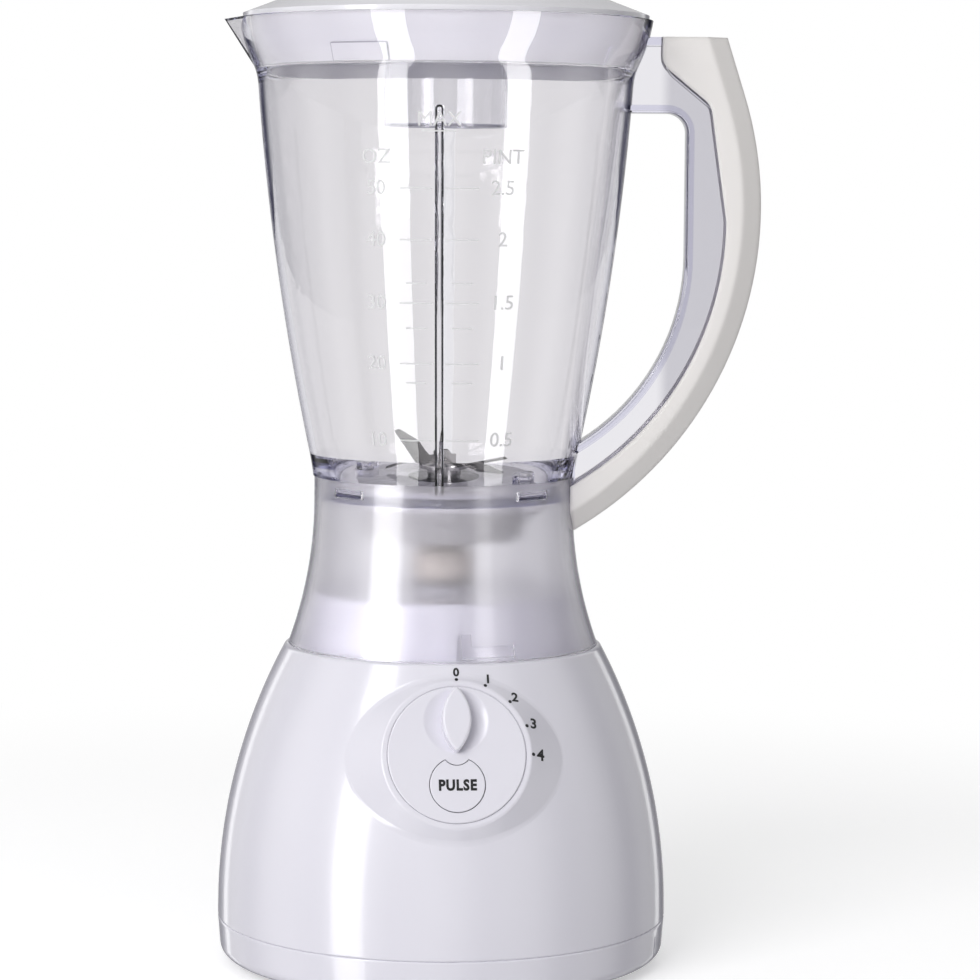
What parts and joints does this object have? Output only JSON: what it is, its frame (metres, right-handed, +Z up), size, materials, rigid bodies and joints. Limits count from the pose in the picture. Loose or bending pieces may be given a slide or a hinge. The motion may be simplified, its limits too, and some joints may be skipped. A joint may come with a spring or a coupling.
{
  "type": "countertop blender",
  "caption": "Countertop blender: clear tapered jar with handle, lid and measuring cap on a domed motor base with a speed dial and a pulse button.",
  "frame": {"origin": "on the drive axis, in the plane that the feet stand on", "axes": "+Z up along the drive axis, -Y out of the dial's side, +X towards the handle"},
  "size_m": [0.2212, 0.1881, 0.4142],
  "materials": {
    "white_plastic": "gloss",
    "clear_plastic": "clear gloss",
    "frosted_plastic": "hazy gloss",
    "white_nylon": "satin",
    "rubber": "matt",
    "steel": "plated",
    "stainless": "polished",
    "blade_steel": "ground",
    "bronze": "sintered",
    "coupling_plastic": "satin",
    "black_plastic": "satin",
    "lamination": "stacked sheet",
    "copper": "enamelled",
    "cast_bracket": "cast",
    "carbon": "dull"
  },
  "bodies": {
    "base": {"base_housing": "white_plastic", "bottom_cover": "white_plastic", "rubber_feet": "rubber", "cover_screws": "steel", "cord_gland": "rubber", "switch_bracket": "steel", "bracket_screws": "steel", "speed_switch": "black_plastic", "pulse_switch": "black_plastic", "stator_core": "lamination", "field_coils": "copper", "upper_bracket": "cast_bracket", "lower_bracket": "cast_bracket", "motor_bearings": "bronze", "motor_bolts": "steel", "motor_grommets": "rubber", "motor_screws": "steel", "brush_holders": "bronze", "carbon_brushes": "carbon", "brush_springs": "steel"},
    "jar": {"jar_body": "clear_plastic", "jar_skirt": "frosted_plastic", "handle_cover": "white_plastic", "blade_seal": "rubber", "bearing_housing": "stainless", "blade_bushes": "bronze", "blade_carrier": "white_nylon", "carrier_screws": "steel"},
    "lid": {"lid": "white_plastic"},
    "cap": {"measuring_cap": "clear_plastic"},
    "blades": {"blade_shaft": "stainless", "blade_washer": "stainless", "lower_blade": "blade_steel", "upper_blade": "blade_steel", "blade_nut": "stainless", "jar_coupling": "coupling_plastic"},
    "rotor": {"motor_shaft": "steel", "armature_core": "lamination", "armature_winding": "copper", "commutator": "copper", "cooling_fan": "black_plastic", "motor_coupling": "coupling_plastic", "slinger": "rubber"},
    "knob": {"speed_knob": "white_plastic", "switch_spindle": "steel"},
    "pulse": {"pulse_button": "white_plastic", "pulse_spring": "steel"}
  },
  "joints": [
    {"name": "jar_lift", "type": "slide", "parent": "base", "child": "jar", "axis": [0, 0, 1], "range_m": [0, 0.1]},
    {"name": "lid_lift", "type": "slide", "parent": "jar", "child": "lid", "axis": [0, 0, 1], "range_m": [0, 0.07]},
    {"name": "cap_lift", "type": "slide", "parent": "lid", "child": "cap", "axis": [0, 0, 1], "range_m": [0, 0.08]},
    {"name": "motor_spin", "type": "hinge", "parent": "base", "child": "rotor", "pos_m": [0, 0, 0], "axis": [0, 0, 1], "continuous": true},
    {"name": "blade_spin", "type": "hinge", "parent": "jar", "child": "blades", "pos_m": [0, 0, 0], "axis": [0, 0, 1], "continuous": true},
    {"name": "knob_turn", "type": "hinge", "parent": "base", "child": "knob", "pos_m": [0, -0.08077, 0.09876], "axis": [0, 0.9336, -0.3584], "range_deg": [0, 90]},
    {"name": "pulse_press", "type": "slide", "parent": "knob", "child": "pulse", "axis": [0, 0.9336, -0.3584], "range_m": [0, 0.0025], "stiffness_N_per_m": 600, "springref_m": -0.002, "deforming": ["pulse_spring"]}
  ],
  "couplings": [
    {"joint": "blade_spin", "follows": "motor_spin", "ratio": 1}
  ]
}
